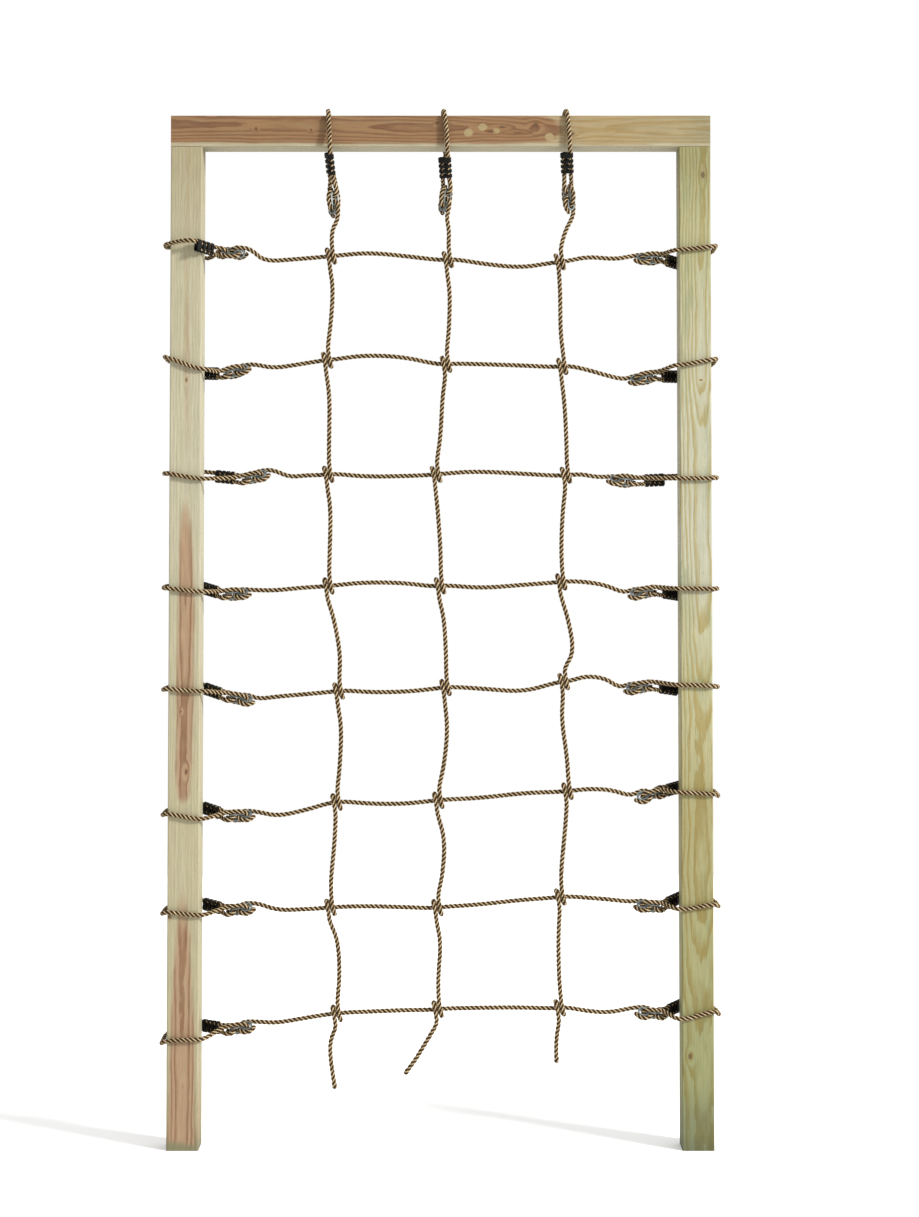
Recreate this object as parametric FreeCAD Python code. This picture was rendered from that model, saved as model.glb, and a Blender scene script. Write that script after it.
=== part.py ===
"""Climbing net of laid rope in a timber goal frame.

Frame of the model: millimetres, +Z up, origin on the ground midway between the posts.
X runs along the beam, Y through the net. The net hangs in the plane Y = 0.
"""
import FreeCAD
import Part

import math
import os

Vector = FreeCAD.Vector

# Timber frame
TIMBER = 70.0              # side of the square posts and of the beam
FRAME_WIDTH = 1200.0       # over the outer faces of the posts
POST_HEIGHT = 2210.0
ARRIS = 3.0                # rounding of the long timber edges
FRAME_HEIGHT = POST_HEIGHT + TIMBER
POST_X = (FRAME_WIDTH - TIMBER) / 2
BEAM_Z = POST_HEIGHT + TIMBER / 2

# Countersunk screws, two down through each beam end into the post
SCREW_RADIUS = 4.0
SCREW_LENGTH = 160.0
SCREW_HEAD_RADIUS = 8.0
SCREW_HEAD_HEIGHT = 5.0
SCREW_OFFSET = 16.0        # from the post's centre, along the beam
SCREW_SOCKET_RADIUS = 3.0
SCREW_SOCKET_DEPTH = 2.5

# Rope
ROPE_DIAMETER = 10.0
ROPE_RADIUS = ROPE_DIAMETER / 2
ARC_SHARE = 0.45           # share of the shorter run that each arc's tangent takes

# Thimble: a closed oval ring of channel section that the rope lies round
THIMBLE_INNER = 7.5        # radius of the hole's round ends
THIMBLE_WALL = 1.3
THIMBLE_HALF_WIDTH = 5.8   # half the ring's width along its hole
THIMBLE_RIM = 11.0         # radius of the flanges' edge at the round ends
GROOVE_RADIUS = 5.3
SLING_SPAN = 15.8          # between the centres of a sling thimble's two round ends
NET_SPAN = 5.5             # the same in the net ropes' thimbles
EYE_RADIUS = THIMBLE_INNER + THIMBLE_WALL + ROPE_RADIUS
THROAT_TO_END = THIMBLE_INNER + THIMBLE_WALL
LINK_LAP = 2 * math.sqrt(THIMBLE_INNER ** 2 - THIMBLE_HALF_WIDTH ** 2) - 0.3
LINK_LENGTH = 2 * THROAT_TO_END + SLING_SPAN + NET_SPAN + LINK_LAP   # from throat to throat
LEG_ANGLE = 12.0           # at which the standing leg closes in behind the throat
LEG_LENGTH = 24.0
LEG_STAND_OFF = 0.55       # of the standing leg's shoulder from the groove
TUCK_STAND_OFF = 0.7       # of the other leg's shoulder
TUCK_END = (-8.2, -0.4)    # where the rope's end meets the standing leg, (along, across)

# Slider: a ribbed block with two bores that sets a sling's length
SLIDER_LENGTH = 46.0
SLIDER_WIDTH = 29.0
SLIDER_THICKNESS = 14.6
SLIDER_BORE_OFFSET = 7.5
FIXED_END_DEPTH = 38.0     # of the sling's fixed end inside the slider at rest
SLIDER_BORE_RADIUS = ROPE_RADIUS + 0.3
SLIDER_WEB_THICKNESS = 9.0
SLIDER_WEB_WIDTH = 3.8
SLIDER_RIB_LENGTHS = (11.0, 7.0, 7.0, 7.0)
SLIDER_FLANGE_RADIUS = 1.2

# A sling's straight strands between its thimble and the timber
STRAND_LEAD = 21.0         # from behind the throat to where the strands are parallel
STRAND_AFTER = 12.0        # from the slider at rest to the end of the parallel strands
CORNER_CLEARANCE = 0.9     # between a slider and the timber corner that it passes
CORNER_RUN = 6.0           # of the parallel strands past that corner
BIGHT_CENTRE = -3.0        # along the pull, from the throat
BIGHT_EXIT = (-8.0, 11.9)  # where each strand leaves the throat, (along, beside)
BIGHT_RADIUS = math.hypot(THIMBLE_WALL - BIGHT_CENTRE, THIMBLE_HALF_WIDTH) + ROPE_RADIUS + 0.15

# A sling's way round its timber, as (u, distance off the face, share of the rise): over the
# face that the eye's strand lies on, then round the outer side, then over the opposite face
FACE_GAP = 6.0
EYE_STRAND = [(48.0, 4.5, 0.0), (26.0, 7.0, 0.05), (-8.0, FACE_GAP, 0.6), (-34.0, 7.5, 1.0)]
OUTER_TURN = [(-46.0, -3.0, 0.4), (-48.5, -24.0, 0.8)]
BACK_STRAND = [(-48.5, -24.0, 0.1), (-46.0, -3.0, 0.3), (-34.0, 7.5, 0.5)]
# and up to its slider: (u from the slider's strand, share of the way off the face, of the rise)
TO_SLIDER = [(-38.0, 0.4, 0.8), (-18.0, 0.85, 1.0)]

# Tails below the lowest row
TAIL_GAP = 0.3

# Each sling: where its thimble's throat lies, the pull's rise and the thimble's roll in
# degrees, and the height at which the rope crosses the timber. For a side sling u runs from
# the post's centre towards the net, v is Y and w is Z. For a top sling u runs down from the
# beam's centre, v is Y and w is X. "eye_face" is the face that the eye's strand lies on, -1
# for the front. near, far and turn are w on that face's inner edge, on its outer edge and
# round the timber's far side; slider is w where the slider's strands leave the other face;
# gap is the slider's distance from the start of the parallel strands; leg is the standing
# leg's length where there is less room than usual; slant turns the slider about its strands.
SLINGS = {
    "left_sling_1": dict(side="left", throat=(78, -6, 1977), gap=6, leg=15, pitch=0, roll=42, eye_face=1,
                         near=1970, far=1996, turn=1990, slider=1990),
    "left_sling_2": dict(side="left", throat=(87, 0, 1707), gap=6, pitch=14, roll=46, eye_face=-1,
                         near=1714, far=1738, turn=1745, slider=1712),
    "left_sling_3": dict(side="left", throat=(130, 0, 1472), gap=6, pitch=12, roll=40, eye_face=-1,
                         near=1471, far=1482, turn=1484, slider=1482),
    "left_sling_4": dict(side="left", throat=(88, 0, 1215), gap=6, pitch=3, roll=48, eye_face=-1,
                         near=1222, far=1229, turn=1231, slider=1231),
    "left_sling_5": dict(side="left", throat=(98, 0, 988), gap=6, pitch=-10, roll=45, eye_face=-1,
                         near=1003, far=1008, turn=1004, slider=1007),
    "left_sling_6": dict(side="left", throat=(98, 0, 725), gap=8, pitch=2, roll=50, eye_face=-1,
                         near=723, far=735, turn=727, slider=741),
    "left_sling_7": dict(side="left", throat=(100, 0, 518), gap=6, pitch=6, roll=44, eye_face=-1,
                         near=513, far=520, turn=510, slider=527),
    "left_sling_8": dict(side="left", throat=(101, 0, 257), gap=8, pitch=8, roll=47, eye_face=-1,
                         near=243, far=240, turn=226, slider=257),
    "right_sling_1": dict(side="right", throat=(77, 4, 1966), gap=6, leg=15, pitch=-2, roll=44, eye_face=-1,
                          near=1979, far=1986, turn=1993, slider=1958),
    "right_sling_2": dict(side="right", throat=(92, 0, 1701), gap=9, pitch=-12, roll=46, eye_face=-1,
                          near=1723, far=1735, turn=1740, slider=1704),
    "right_sling_3": dict(side="right", throat=(139, 0, 1467), gap=10, pitch=3, roll=50, eye_face=-1,
                          near=1472, far=1472, turn=1475, slider=1473),
    "right_sling_4": dict(side="right", throat=(94, 0, 1223), gap=12, pitch=-10, roll=43, eye_face=-1,
                          near=1229, far=1228, turn=1229, slider=1212),
    "right_sling_5": dict(side="right", throat=(104, 0, 1013), gap=12, pitch=-10, roll=46, eye_face=-1,
                          near=1017, far=1015, turn=1010, slider=1000),
    "right_sling_6": dict(side="right", throat=(81, 0, 777), gap=6, leg=15, pitch=-14, roll=34, eye_face=-1,
                          near=781, far=778, turn=769, slider=786),
    "right_sling_7": dict(side="right", throat=(82, 0, 526), gap=7, leg=15, pitch=3, roll=49, eye_face=-1,
                          near=526, far=537, turn=526, slider=541),
    "right_sling_8": dict(side="right", throat=(80, 0, 291), gap=7, leg=15, pitch=4, roll=44, eye_face=-1,
                          near=287, far=304, turn=289, slider=302),
    "top_sling_left": dict(side="top", throat=(131, 0, -241), gap=20, slant=-60, pitch=4, roll=48,
                           eye_face=1, near=-249, far=-252, turn=-252, slider=-250),
    "top_sling_middle": dict(side="top", throat=(125, 0, 13), gap=5, pitch=-6, roll=44, eye_face=1,
                             near=10, far=6, turn=5, slider=7),
    "top_sling_right": dict(side="top", throat=(123, 0, 285), gap=14, pitch=4, roll=-46, eye_face=1,
                            near=280, far=278, turn=278, slider=279),
}

# Net: where each upright rope is hitched round each cross rope, (x, z), from the top row down
KNOTS = {
    "left": [(-245, 1970), (-253, 1737), (-250, 1482), (-249, 1234),
             (-226, 1001), (-230, 756), (-243, 524), (-229, 292)],
    "middle": [(16, 1962), (12, 1728), (-10, 1482), (-1, 1234),
               (11, 1009), (-5, 760), (-7, 524), (-6, 301)],
    "right": [(266, 1957), (271, 1723), (279, 1480), (268, 1243),
              (273, 1022), (281, 780), (265, 547), (263, 304)],
}

# Points of each upright rope between its knots, (x, z), below its eye and then row by row
UPRIGHT_BENDS = {
    "left": [[(-242, 2030)], [(-240, 1898), (-244, 1826)], [(-247, 1655), (-248, 1566)],
             [(-244, 1402), (-246, 1318)], [(-236, 1160), (-222, 1082)],
             [(-219, 918), (-223, 832)], [(-234, 668), (-242, 590)], [(-226, 452), (-222, 376)]],
    "middle": [[(19, 2028)], [(21, 1886), (19, 1808)], [(4, 1654), (0, 1566)],
               [(-6, 1398), (0, 1316)], [(8, 1160), (12, 1088)],
               [(16, 916), (8, 838)], [(10, 674), (5, 598)], [(1, 446), (-5, 376)]],
    "right": [[(279, 2028)], [(267, 1880), (267, 1802)], [(276, 1640), (280, 1562)],
              [(271, 1396), (268, 1322)], [(284, 1158), (296, 1088)],
              [(268, 938), (280, 856)], [(275, 690), (267, 612)], [(260, 462), (261, 382)]],
}

# Points of each cross rope between its knots, (x, z): left span, two inner spans, right span
CROSS_BENDS = [
    [[(-394, 1958), (-326, 1963)], [(-160, 1978), (-76, 1970)], [(100, 1952), (180, 1944)],
     [(330, 1969), (388, 1963)]],
    [[(-372, 1719), (-314, 1728)], [(-172, 1748), (-86, 1745)], [(96, 1728), (184, 1725)],
     [(326, 1716), (366, 1704)]],
    [[(-336, 1476), (-300, 1480)], [(-168, 1477), (-90, 1478)], [(76, 1489), (176, 1484)],
     [(316, 1482), (342, 1477)]],
    [[(-366, 1224), (-310, 1230)], [(-168, 1242), (-84, 1241)], [(90, 1229), (180, 1236)],
     [(322, 1243), (366, 1236)]],
    [[(-362, 989), (-300, 994)], [(-148, 998), (-68, 1000)], [(96, 1006), (184, 999)],
     [(322, 1034), (364, 1030)]],
    [[(-360, 725), (-300, 738)], [(-154, 752), (-80, 752)], [(90, 765), (184, 776)],
     [(330, 785), (378, 783)]],
    [[(-360, 518), (-304, 520)], [(-162, 527), (-84, 525)], [(82, 530), (172, 540)],
     [(318, 546), (370, 542)]],
    [[(-360, 271), (-298, 282)], [(-152, 296), (-78, 299)], [(84, 304), (176, 305)],
     [(316, 298), (370, 293)]],
]

# Tails: points below the last knot, (x, z)
TAILS = {
    "left": [(-242, 236), (-243, 205), (-239, 172), (-232, 128)],
    "middle": [(-22, 246), (-38, 220), (-56, 190), (-79, 160)],
    "right": [(257, 250), (255, 226), (255, 202), (256, 184)],
}

# One hitch: the upright rope's turn round a cross rope, from above to below, offsets in
# X, Y and Z from the crossing's centre
HITCH = [
    (1.6, -8.0, 30.0), (3.6, -10.4, 15.0), (5.5, -11.2, 0.0), (7.7, -7.8, -13.3),
    (7.0, 3.8, -15.2), (3.0, 11.6, -5.9), (-3.0, 11.6, 5.9), (-7.0, 3.8, 15.2),
    (-7.7, -7.8, 13.3), (-5.5, -11.2, 0.0), (-3.6, -10.4, -15.0), (-1.6, -8.0, -30.0),
]

# How far a cross rope is dragged up or down on each side of a hitch, (x offset, z offset)
KINK = [(-15.0, -1.5), (15.0, 1.5)]

radii = {}                 # each rope's smallest arc radius
volume_errors = {}         # each rope's volume against its section times its length


def export(name, solids):
    """Write one node: one solid, or several as a group of separate solids."""
    shape = solids[0] if len(solids) == 1 else Part.makeCompound(solids)
    shape.exportStep(f"parts/{name}.step")
    print(f"{name}: {len(solids)} solids, valid {shape.isValid()}, {shape.Volume:.0f} mm3")


def rope_path(points, name):
    """Straight runs joined by tangent arcs, and the path's length."""
    edges = []
    length = 0.0
    start = points[0]
    for before, corner, after in zip(points, points[1:], points[2:]):
        into = corner - before
        out = after - corner
        turn = into.getAngle(out)
        tangent = ARC_SHARE * min(into.Length, out.Length)
        radius = tangent / math.tan(turn / 2)
        radii[name] = min(radii.get(name, radius), radius)
        into.normalize()
        out.normalize()
        arc_start = corner - into * tangent
        arc_end = corner + out * tangent
        inward = out - into
        inward.normalize()
        middle = corner + inward * (radius / math.cos(turn / 2) - radius)
        edges.append(Part.LineSegment(start, arc_start).toShape())
        edges.append(Part.Arc(arc_start, middle, arc_end).toShape())
        length += start.distanceToPoint(arc_start) + radius * turn
        start = arc_end
    edges.append(Part.LineSegment(start, points[-1]).toShape())
    length += start.distanceToPoint(points[-1])
    return Part.Wire(edges), length


def rope_tube(points, name):
    """The rope's solid along its route."""
    path, length = rope_path(points, name)
    section = Part.Wire(Part.Circle(points[0], points[1] - points[0], ROPE_RADIUS).toShape())
    tube = path.makePipeShell([section], True, False)
    expected = math.pi * ROPE_RADIUS ** 2 * length
    volume_errors[name] = tube.Volume / expected - 1
    return tube


def unit(vector):
    return Vector(vector) / vector.Length


def square_to(vector, axis):
    """The unit vector nearest to vector that is square to axis."""
    return unit(vector - axis * vector.dot(axis))


def eye_route(throat, pull, across, span=NET_SPAN, leg_length=LEG_LENGTH):
    """Points of a rope's eye round its thimble, from the rope's end to its standing leg.

    pull points from the throat to the crown. The standing leg is on the side that across
    points to, and the rope's end is tucked against it behind the throat.
    """
    leg = math.radians(LEG_ANGLE)
    end_centre = throat + pull * THROAT_TO_END
    crown_centre = end_centre + pull * span
    corner = math.radians(22.5)
    reach = EYE_RADIUS / math.cos(corner)
    crown = []
    for turn in (-3, -1, 1, 3):
        crown.append(crown_centre + pull * (reach * math.cos(turn * corner))
                     + across * (reach * math.sin(turn * corner)))
    end = throat + pull * TUCK_END[0] + across * TUCK_END[1]
    tuck = (end_centre - pull * (reach * math.sin(corner) + TUCK_STAND_OFF)
            - across * (EYE_RADIUS + TUCK_STAND_OFF))
    shoulder = end_centre - pull * (EYE_RADIUS * math.tan(leg / 2)) + across * (EYE_RADIUS + LEG_STAND_OFF)
    leg_end = shoulder - pull * (leg_length * math.cos(leg)) - across * (leg_length * math.sin(leg))
    return [end, tuck] + crown + [shoulder, leg_end]


def to_world(side, u, v, w):
    """A point given from the centre of the post or beam that a sling goes round."""
    if side == "left":
        return Vector(-POST_X + u, v, w)
    if side == "right":
        return Vector(POST_X - u, v, w)
    return Vector(w, v, BEAM_Z - u)


def sling_frame(sling):
    """(throat, pull, roll axis of the thimble's hole, across) of a sling, in its own axes."""
    throat = Vector(*sling["throat"])
    pitch = math.radians(sling["pitch"])
    pull = Vector(math.cos(pitch), 0, math.sin(pitch))
    upright = square_to(Vector(0, 0, 1), pull)
    back = Vector(0, -sling["eye_face"], 0)
    roll = math.radians(sling["roll"])
    hole = upright * math.cos(roll) + back * math.sin(roll)
    across = back * math.cos(roll) - upright * math.sin(roll)
    return throat, pull, hole, across


def slider_line(sling):
    """(start, direction, run, upright) of the line that a sling's slider runs along.

    It leaves the throat towards the timber and passes its corner just clear of the slider.
    """
    throat, pull, _, _ = sling_frame(sling)
    face = -sling["eye_face"]
    behind = throat - pull * 2
    corner = Vector(TIMBER / 2, face * TIMBER / 2, 0)
    to_corner = Vector(corner.x - behind.x, corner.y - behind.y, 0)
    clearance = SLIDER_THICKNESS / 2 + CORNER_CLEARANCE
    shortest = sling["gap"] + SLIDER_LENGTH + STRAND_AFTER
    aside = math.asin(clearance / to_corner.Length)
    angle = math.atan2(to_corner.y, to_corner.x) - face * aside
    to_passing = to_corner.Length * math.cos(aside)
    run = max(to_passing - STRAND_LEAD + CORNER_RUN, shortest)
    rise = sling["slider"] - behind.z
    level = Vector(math.cos(angle), math.sin(angle), 0)
    direction = unit(level * (STRAND_LEAD + run) + Vector(0, 0, rise))
    start = behind + direction * STRAND_LEAD
    upright = square_to(Vector(0, 0, 1), direction)
    aslant = math.radians(sling.get("slant", 0))
    upright = upright * math.cos(aslant) + direction.cross(upright) * math.sin(aslant)
    return start, direction, run, upright


def sling_route(sling):
    """Points of one sling, in its own axes, from its eye round the timber to its fixed end."""
    throat, pull, hole, across = sling_frame(sling)
    start, along, run, upright = slider_line(sling)
    face = sling["eye_face"]
    half = TIMBER / 2
    near, far, turn = sling["near"], sling["far"], sling["turn"]
    upper = start + along * run + upright * SLIDER_BORE_OFFSET
    stand_off = abs(upper.y) - half - FACE_GAP
    eye = eye_route(throat, pull, across * -1, SLING_SPAN, sling.get("leg", LEG_LENGTH))
    round_timber = [Vector(u, face * (half + off), near + (far - near) * share)
                    for u, off, share in EYE_STRAND]
    round_timber += [Vector(u, face * (half + off), far + (turn - far) * share)
                     for u, off, share in OUTER_TURN]
    round_timber += [Vector(u, -face * (half + off), turn + (upper.z - turn) * share)
                     for u, off, share in BACK_STRAND]
    round_timber += [Vector(upper.x + u, -face * (half + FACE_GAP + stand_off * out),
                            turn + (upper.z - turn) * share)
                     for u, out, share in TO_SLIDER]
    bight = throat + pull * BIGHT_CENTRE
    reach = BIGHT_RADIUS / math.cos(math.pi / 6)
    strand_in = start + upright * SLIDER_BORE_OFFSET
    strand_out = start - upright * SLIDER_BORE_OFFSET
    fixed_end = start + along * (sling["gap"] + FIXED_END_DEPTH) - upright * SLIDER_BORE_OFFSET
    leaving = throat + pull * BIGHT_EXIT[0]
    turn_back = [
        leaving + hole * BIGHT_EXIT[1],
        bight + pull * (reach / 2) + hole * BIGHT_RADIUS,
        bight + pull * reach,
        bight + pull * (reach / 2) - hole * BIGHT_RADIUS,
        leaving - hole * BIGHT_EXIT[1],
    ]
    return eye + round_timber + [upper, strand_in] + turn_back + [strand_out, fixed_end]


def in_world(sling, points):
    return [to_world(sling["side"], p.x, p.y, p.z) for p in points]


def world_direction(sling, direction):
    origin = to_world(sling["side"], 0, 0, 0)
    return to_world(sling["side"], direction.x, direction.y, direction.z) - origin


def net_throat(name):
    """(throat, pull from it back towards the timber, across) of the net rope's own thimble."""
    sling = SLINGS[name]
    throat, pull, hole, _ = sling_frame(sling)
    far_throat = throat + pull * LINK_LENGTH
    place = in_world(sling, [far_throat])[0]
    return place, world_direction(sling, pull * -1), world_direction(sling, hole)


def hitch_points(x, z):
    return [Vector(x + dx, dy, z + dz) for dx, dy, dz in HITCH]


def upright_route(name):
    """Points of one upright rope: its eye on the top sling, then hitch after hitch."""
    points = eye_route(*net_throat(f"top_sling_{name}"))
    bends = UPRIGHT_BENDS[name]
    points += [Vector(x, -4, z) for x, z in bends[0]]
    for row, (x, z) in enumerate(KNOTS[name]):
        points += hitch_points(x, z)
        if row + 1 < len(bends):
            points += [Vector(bx, -6, bz) for bx, bz in bends[row + 1]]
    return points


def cross_route(row):
    """Points of one cross rope: eye, span, knot, span, knot, span, knot, span, eye."""
    left_eye = eye_route(*net_throat(f"left_sling_{row + 1}"))
    right_eye = eye_route(*net_throat(f"right_sling_{row + 1}"))
    points = left_eye
    for span, knots in zip(CROSS_BENDS[row], ("left", "middle", "right", None)):
        points = points + [Vector(x, 0, z) for x, z in span]
        if knots:
            x, z = KNOTS[knots][row]
            points += [Vector(x + dx, 0, z + dz) for dx, dz in KINK]
    return points + right_eye[::-1]


def tail_route(name):
    """Points of one tail, from its pivot just below the last hitch."""
    x, z = KNOTS[name][-1]
    last = HITCH[-1]
    pivot = Vector(x + last[0], last[1], z + last[2] - TAIL_GAP - ROPE_RADIUS)
    return [pivot] + [Vector(tx, last[1] + 1.5, tz) for tx, tz in TAILS[name]]


def post(x):
    """One square post with rounded arrises and the screws' holes in its top."""
    box = Part.makeBox(TIMBER, TIMBER, POST_HEIGHT, Vector(x - TIMBER / 2, -TIMBER / 2, 0))
    upright_edges = [e for e in box.Edges if abs(e.BoundBox.ZLength - POST_HEIGHT) < 1]
    solid = box.makeFillet(ARRIS, upright_edges)
    for hole in screws_at(x):
        solid = solid.cut(hole)
    return solid


def beam():
    """The beam that lies across both posts."""
    corner = Vector(-FRAME_WIDTH / 2, -TIMBER / 2, POST_HEIGHT)
    box = Part.makeBox(FRAME_WIDTH, TIMBER, TIMBER, corner)
    long_edges = [e for e in box.Edges if abs(e.BoundBox.XLength - FRAME_WIDTH) < 1]
    solid = box.makeFillet(ARRIS, long_edges)
    for side in (-1, 1):
        for hole in screws_at(side * POST_X):
            solid = solid.cut(hole)
    return solid


def screws_at(x, socket=False):
    """The two screws above one post, as plain pins with a countersunk head."""
    screws = []
    for side in (-1, 1):
        top = Vector(x + side * SCREW_OFFSET, 0, FRAME_HEIGHT)
        shank = Part.makeCylinder(SCREW_RADIUS, SCREW_LENGTH, top - Vector(0, 0, SCREW_LENGTH))
        head = Part.makeCone(SCREW_RADIUS, SCREW_HEAD_RADIUS, SCREW_HEAD_HEIGHT,
                             top - Vector(0, 0, SCREW_HEAD_HEIGHT))
        screw = shank.fuse(head).removeSplitter()
        if socket:
            recess = Part.makeCylinder(SCREW_SOCKET_RADIUS, SCREW_SOCKET_DEPTH,
                                       top - Vector(0, 0, SCREW_SOCKET_DEPTH))
            screw = screw.cut(recess)
        screws.append(screw)
    return screws


def oval(radius, span):
    """A closed oval in the XY plane: two half circles, span apart, and two sides."""
    left = Vector(0, 0, 0)
    right = Vector(span, 0, 0)
    up = Vector(0, radius, 0)
    out = Vector(radius, 0, 0)
    return Part.Wire([
        Part.LineSegment(left - up, right - up).toShape(),
        Part.Arc(right - up, right + out, right + up).toShape(),
        Part.LineSegment(right + up, left + up).toShape(),
        Part.Arc(left + up, left - out, left - up).toShape(),
    ])


def thimble(span):
    """One thimble: hole along Z, crown towards +X, its throat end's centre at the origin."""
    height = Vector(0, 0, 2 * THIMBLE_HALF_WIDTH)
    down = Vector(0, 0, -THIMBLE_HALF_WIDTH)
    blank = Part.Face(oval(THIMBLE_RIM, span)).extrude(height)
    hole = Part.Face(oval(THIMBLE_INNER, span)).extrude(height)
    blank.translate(down)
    hole.translate(down)
    path = oval(EYE_RADIUS, span)
    section = Part.Wire(Part.Circle(Vector(0, -EYE_RADIUS, 0), Vector(1, 0, 0), GROOVE_RADIUS).toShape())
    groove = path.makePipeShell([section], True, False)
    return blank.cut(hole).cut(groove)


def placed(shape, origin, x_axis, z_axis):
    """A copy of shape with its origin, +X and +Z moved to these."""
    y_axis = z_axis.cross(x_axis)
    matrix = FreeCAD.Matrix(x_axis.x, y_axis.x, z_axis.x, origin.x,
                            x_axis.y, y_axis.y, z_axis.y, origin.y,
                            x_axis.z, y_axis.z, z_axis.z, origin.z,
                            0, 0, 0, 1)
    copy = shape.copy()
    copy.Placement = FreeCAD.Placement(matrix)
    return copy


def thimbles_of(name, sling_blank, net_blank):
    """A sling's own thimble and the net rope's thimble that is linked into it."""
    sling = SLINGS[name]
    throat, pull, hole, _ = sling_frame(sling)
    centre = in_world(sling, [throat + pull * THROAT_TO_END])[0]
    own = placed(sling_blank, centre, world_direction(sling, pull), world_direction(sling, hole))
    far_throat, back_pull, across = net_throat(name)
    far_centre = far_throat + back_pull * THROAT_TO_END
    linked = placed(net_blank, far_centre, back_pull, back_pull.cross(across))
    return [own, linked]


def slider_blank():
    """One slider: bores along +X from its timber end at the origin, side by side along Z."""
    web = Part.makeBox(SLIDER_LENGTH, SLIDER_WEB_THICKNESS, SLIDER_WEB_WIDTH,
                       Vector(0, -SLIDER_WEB_THICKNESS / 2, -SLIDER_WEB_WIDTH / 2))
    gap = (SLIDER_LENGTH - sum(SLIDER_RIB_LENGTHS)) / (len(SLIDER_RIB_LENGTHS) - 1)
    solid = web
    at = 0.0
    for length in SLIDER_RIB_LENGTHS:
        solid = solid.fuse(slider_rib(at, length))
        at += length + gap
    for side in (-1, 1):
        bore = Part.makeCylinder(SLIDER_BORE_RADIUS, SLIDER_LENGTH + 2,
                                 Vector(-1, 0, side * SLIDER_BORE_OFFSET), Vector(1, 0, 0))
        solid = solid.cut(bore)
    return solid.removeSplitter()


def slider_rib(at, length):
    """One rib: a round-ended slab across both bores, with softened outer edges."""
    radius = SLIDER_THICKNESS / 2
    reach = SLIDER_WIDTH / 2 - radius
    slab = Part.makeBox(length, SLIDER_THICKNESS, 2 * reach, Vector(at, -radius, -reach))
    for side in (-1, 1):
        end = Part.makeCylinder(radius, length, Vector(at, 0, side * reach), Vector(1, 0, 0))
        slab = slab.fuse(end)
    slab = slab.removeSplitter()
    rims = [e for e in slab.Edges if e.BoundBox.XLength < 1e-3]
    return slab.makeFillet(SLIDER_FLANGE_RADIUS, rims)


def slider_placement(name):
    """(timber end, axis towards the thimble, direction between the bores) in the world."""
    sling = SLINGS[name]
    start, along, _, upright = slider_line(sling)
    end = in_world(sling, [start + along * (sling["gap"] + SLIDER_LENGTH)])[0]
    return end, world_direction(sling, along * -1), world_direction(sling, upright)


def tail(name):
    """One tail: a round end at its pivot, the rope, and a melted, rounded tip."""
    points = tail_route(name)
    tube = rope_tube(points, f"{name}_rope_tail")
    top = Part.makeSphere(ROPE_RADIUS, points[0])
    tip = Part.makeSphere(ROPE_RADIUS, points[-1])
    return tube.fuse(top).fuse(tip).removeSplitter()


def build_frame():
    export("left_post", [post(-POST_X)])
    export("right_post", [post(POST_X)])
    export("top_beam", [beam()])
    export("beam_screws", screws_at(-POST_X, socket=True) + screws_at(POST_X, socket=True))


def build_net():
    for name in KNOTS:
        export(f"{name}_upright_rope", [rope_tube(upright_route(name), f"{name}_upright_rope")])
        export(f"{name}_rope_tail", [tail(name)])
    for row in range(len(CROSS_BENDS)):
        name = f"cross_rope_{row + 1}"
        export(name, [rope_tube(cross_route(row), name)])


def build_slings():
    sling_blank = thimble(SLING_SPAN)
    net_blank = thimble(NET_SPAN)
    blank_slider = slider_blank()
    for side in ("left", "right", "top"):
        names = [name for name in SLINGS if SLINGS[name]["side"] == side]
        rings = [ring for name in names for ring in thimbles_of(name, sling_blank, net_blank)]
        export(f"{side}_thimbles", rings)
        for name in names:
            route = in_world(SLINGS[name], sling_route(SLINGS[name]))
            export(name, [rope_tube(route, name)])
            slider = placed(blank_slider, *slider_placement(name))
            export(name.replace("sling", "slider"), [slider])


os.makedirs("parts", exist_ok=True)
build_frame()
build_net()
build_slings()
for name, radius in radii.items():
    print(f"{name}: smallest arc radius {radius:.1f} mm, volume off by {volume_errors[name]:.2%}")
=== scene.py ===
"""Looks of a laid-rope climbing net in a timber goal frame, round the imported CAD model.

The frame is the CAD's: +Z up, origin on the ground midway between the posts, net in Y = 0.
Routes are worked out in millimetres, as in the CAD source, and metres() turns them into metres.
"""

import math

import bpy
import numpy as np
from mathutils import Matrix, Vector


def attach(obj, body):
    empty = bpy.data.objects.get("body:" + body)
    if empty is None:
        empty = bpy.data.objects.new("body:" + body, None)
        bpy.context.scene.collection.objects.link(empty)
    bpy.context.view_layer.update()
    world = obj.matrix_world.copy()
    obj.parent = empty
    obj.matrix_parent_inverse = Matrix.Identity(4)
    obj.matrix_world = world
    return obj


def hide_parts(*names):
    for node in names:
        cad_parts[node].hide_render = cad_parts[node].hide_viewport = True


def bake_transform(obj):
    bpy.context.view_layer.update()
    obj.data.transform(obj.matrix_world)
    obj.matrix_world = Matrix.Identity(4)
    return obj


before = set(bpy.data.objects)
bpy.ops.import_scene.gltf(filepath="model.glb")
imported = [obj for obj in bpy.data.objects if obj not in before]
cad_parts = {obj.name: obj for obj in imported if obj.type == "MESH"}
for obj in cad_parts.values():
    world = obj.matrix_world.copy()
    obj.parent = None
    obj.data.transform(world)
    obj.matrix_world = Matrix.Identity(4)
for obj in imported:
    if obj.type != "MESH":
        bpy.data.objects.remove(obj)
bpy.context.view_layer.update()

# The CAD's driving dimensions that the routes need, in millimetres
TIMBER = 70.0
POST_X = 565.0
BEAM_Z = 2245.0
ROPE_DIAMETER = 10.0
ROPE_RADIUS = ROPE_DIAMETER / 2
THIMBLE_INNER = 7.5
THIMBLE_WALL = 1.3
THIMBLE_HALF_WIDTH = 5.8
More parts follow.
